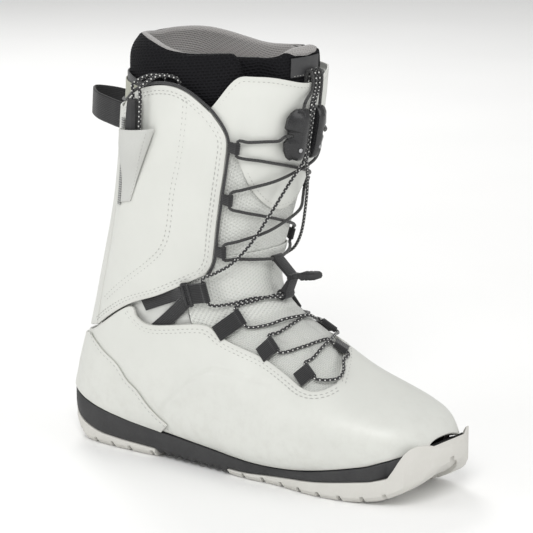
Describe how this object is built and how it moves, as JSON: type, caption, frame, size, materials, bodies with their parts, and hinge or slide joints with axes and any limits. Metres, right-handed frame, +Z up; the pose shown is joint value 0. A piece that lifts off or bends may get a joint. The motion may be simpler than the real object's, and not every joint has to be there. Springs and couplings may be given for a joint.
{
  "type": "snowboard boot",
  "caption": "Lace-up snowboard boot with a two-part leather shell, padded liner, pull-cord lacing in upper and lower zones and a lugged rubber sole.",
  "frame": {"origin": "centre of the bounding box, on the ground under the sole", "axes": "+Z up, -Y towards the toe, -X towards the outer (lateral) side of the foot"},
  "size_m": [0.1305, 0.3083, 0.2977],
  "materials": {
    "white_leather": "smooth white synthetic leather with a fine grain and double stitching",
    "grey_mesh": "light grey ribbed stretch mesh",
    "pocket_fabric": "light grey coated fabric",
    "zip_tape": "ribbed grey tape along the pocket's edge",
    "midsole_foam": "matt charcoal moulded foam",
    "outsole_rubber": "matt light grey rubber",
    "lasting_board": "brown fibre board",
    "liner_mesh": "black coarse mesh over foam",
    "label_patch": "moulded rubber patch with no lettering",
    "olive_fabric": "olive grey woven fabric",
    "black_webbing": "ribbed black webbing",
    "black_plastic": "moulded black nylon",
    "soft_rubber": "soft black rubber",
    "dark_lace": "braided dark grey cord",
    "speckled_lace": "braided black cord with white flecks",
    "steel": "small steel screws",
    "footbed_foam": "fabric-topped foam"
  },
  "bodies": {
    "lower_boot": {"outsole_heel": "outsole_rubber", "outsole_forefoot": "outsole_rubber", "midsole": "midsole_foam", "lasting_board": "lasting_board", "shell_lower": "white_leather", "heel_counter": "white_leather", "gusset_lateral": "grey_mesh", "gusset_medial": "grey_mesh", "tongue_flex": "grey_mesh", "tongue_lower": "grey_mesh", "vamp_loop_1_lateral": "black_webbing", "vamp_loop_2_lateral": "black_webbing", "vamp_loop_3_lateral": "black_webbing", "vamp_loop_1_medial": "black_webbing", "vamp_loop_2_medial": "black_webbing", "vamp_loop_3_medial": "black_webbing", "ankle_strap_lower_lateral": "black_webbing", "ankle_strap_lower_medial": "black_webbing", "front_tab_webbing": "black_webbing", "liner_ankle": "liner_mesh", "liner_foot": "liner_mesh", "footbed": "footbed_foam", "lower_lace": "speckled_lace"},
    "cuff": {"cuff_lateral": "white_leather", "cuff_medial": "white_leather", "cuff_rear": "white_leather", "back_tab": "olive_fabric", "cuff_lining": "black_webbing", "cuff_binding": "black_webbing", "pocket_lateral": "pocket_fabric", "pocket_medial": "pocket_fabric", "pocket_zip_lateral": "zip_tape", "pocket_zip_medial": "zip_tape", "tongue_base": "grey_mesh", "tongue_panel": "white_leather", "liner_cuff": "liner_mesh", "liner_tongue": "liner_mesh", "liner_label": "label_patch", "cuff_loop_1_lateral": "black_webbing", "cuff_loop_2_lateral": "black_webbing", "cuff_loop_3_lateral": "black_webbing", "cuff_loop_1_medial": "black_webbing", "cuff_loop_2_medial": "black_webbing", "cuff_loop_3_medial": "black_webbing", "ankle_strap_upper_lateral": "black_webbing", "ankle_strap_upper_medial": "black_webbing", "ladder_buckle_lateral": "black_plastic", "ladder_buckle_medial": "black_plastic", "pull_loop": "black_webbing", "upper_lace": "dark_lace"},
    "lace_lock": {"lock_base": "black_plastic", "lock_cover_left": "black_plastic", "lock_cover_right": "black_plastic", "lock_screw_left": "steel", "lock_screw_right": "steel"},
    "handle_lateral": {"lace_handle_lateral": "soft_rubber", "handle_cord_lateral": "speckled_lace"},
    "handle_medial": {"lace_handle_medial": "soft_rubber", "handle_cord_medial": "dark_lace"},
    "tab_grip": {"front_tab_grip": "soft_rubber"}
  },
  "joints": [
    {"name": "cuff_flex", "type": "hinge", "parent": "lower_boot", "child": "cuff", "pos_m": [0, 0.078, 0.108], "axis": [1, 0, 0], "range_deg": [0, 8], "stiffness_Nm_per_rad": 60, "deforming": ["gusset_lateral", "gusset_medial", "liner_ankle", "tongue_flex", "ankle_strap_lower_lateral", "ankle_strap_lower_medial", "front_tab_webbing", "upper_lace", "lower_lace"]},
    {"name": "lock_slide", "type": "slide", "parent": "cuff", "child": "lace_lock", "axis": [0, -0.1644, 0.9864], "range_m": [-0.008, 0.008], "deforming": ["upper_lace", "lower_lace"]},
    {"name": "handle_lateral_slide", "type": "slide", "parent": "cuff", "child": "handle_lateral", "axis": [0.0106, -0.0453, 0.9989], "range_m": [0, 0.035], "deforming": ["handle_cord_lateral"]},
    {"name": "handle_medial_slide", "type": "slide", "parent": "cuff", "child": "handle_medial", "axis": [0.0163, -0.0448, 0.9989], "range_m": [0, 0.035], "deforming": ["handle_cord_medial"]},
    {"name": "tab_grip_hinge", "type": "hinge", "parent": "lower_boot", "child": "tab_grip", "pos_m": [0, -0.0285, 0.136], "axis": [1, 0, 0], "range_deg": [-30, 25], "stiffness_Nm_per_rad": 0.02}
  ]
}
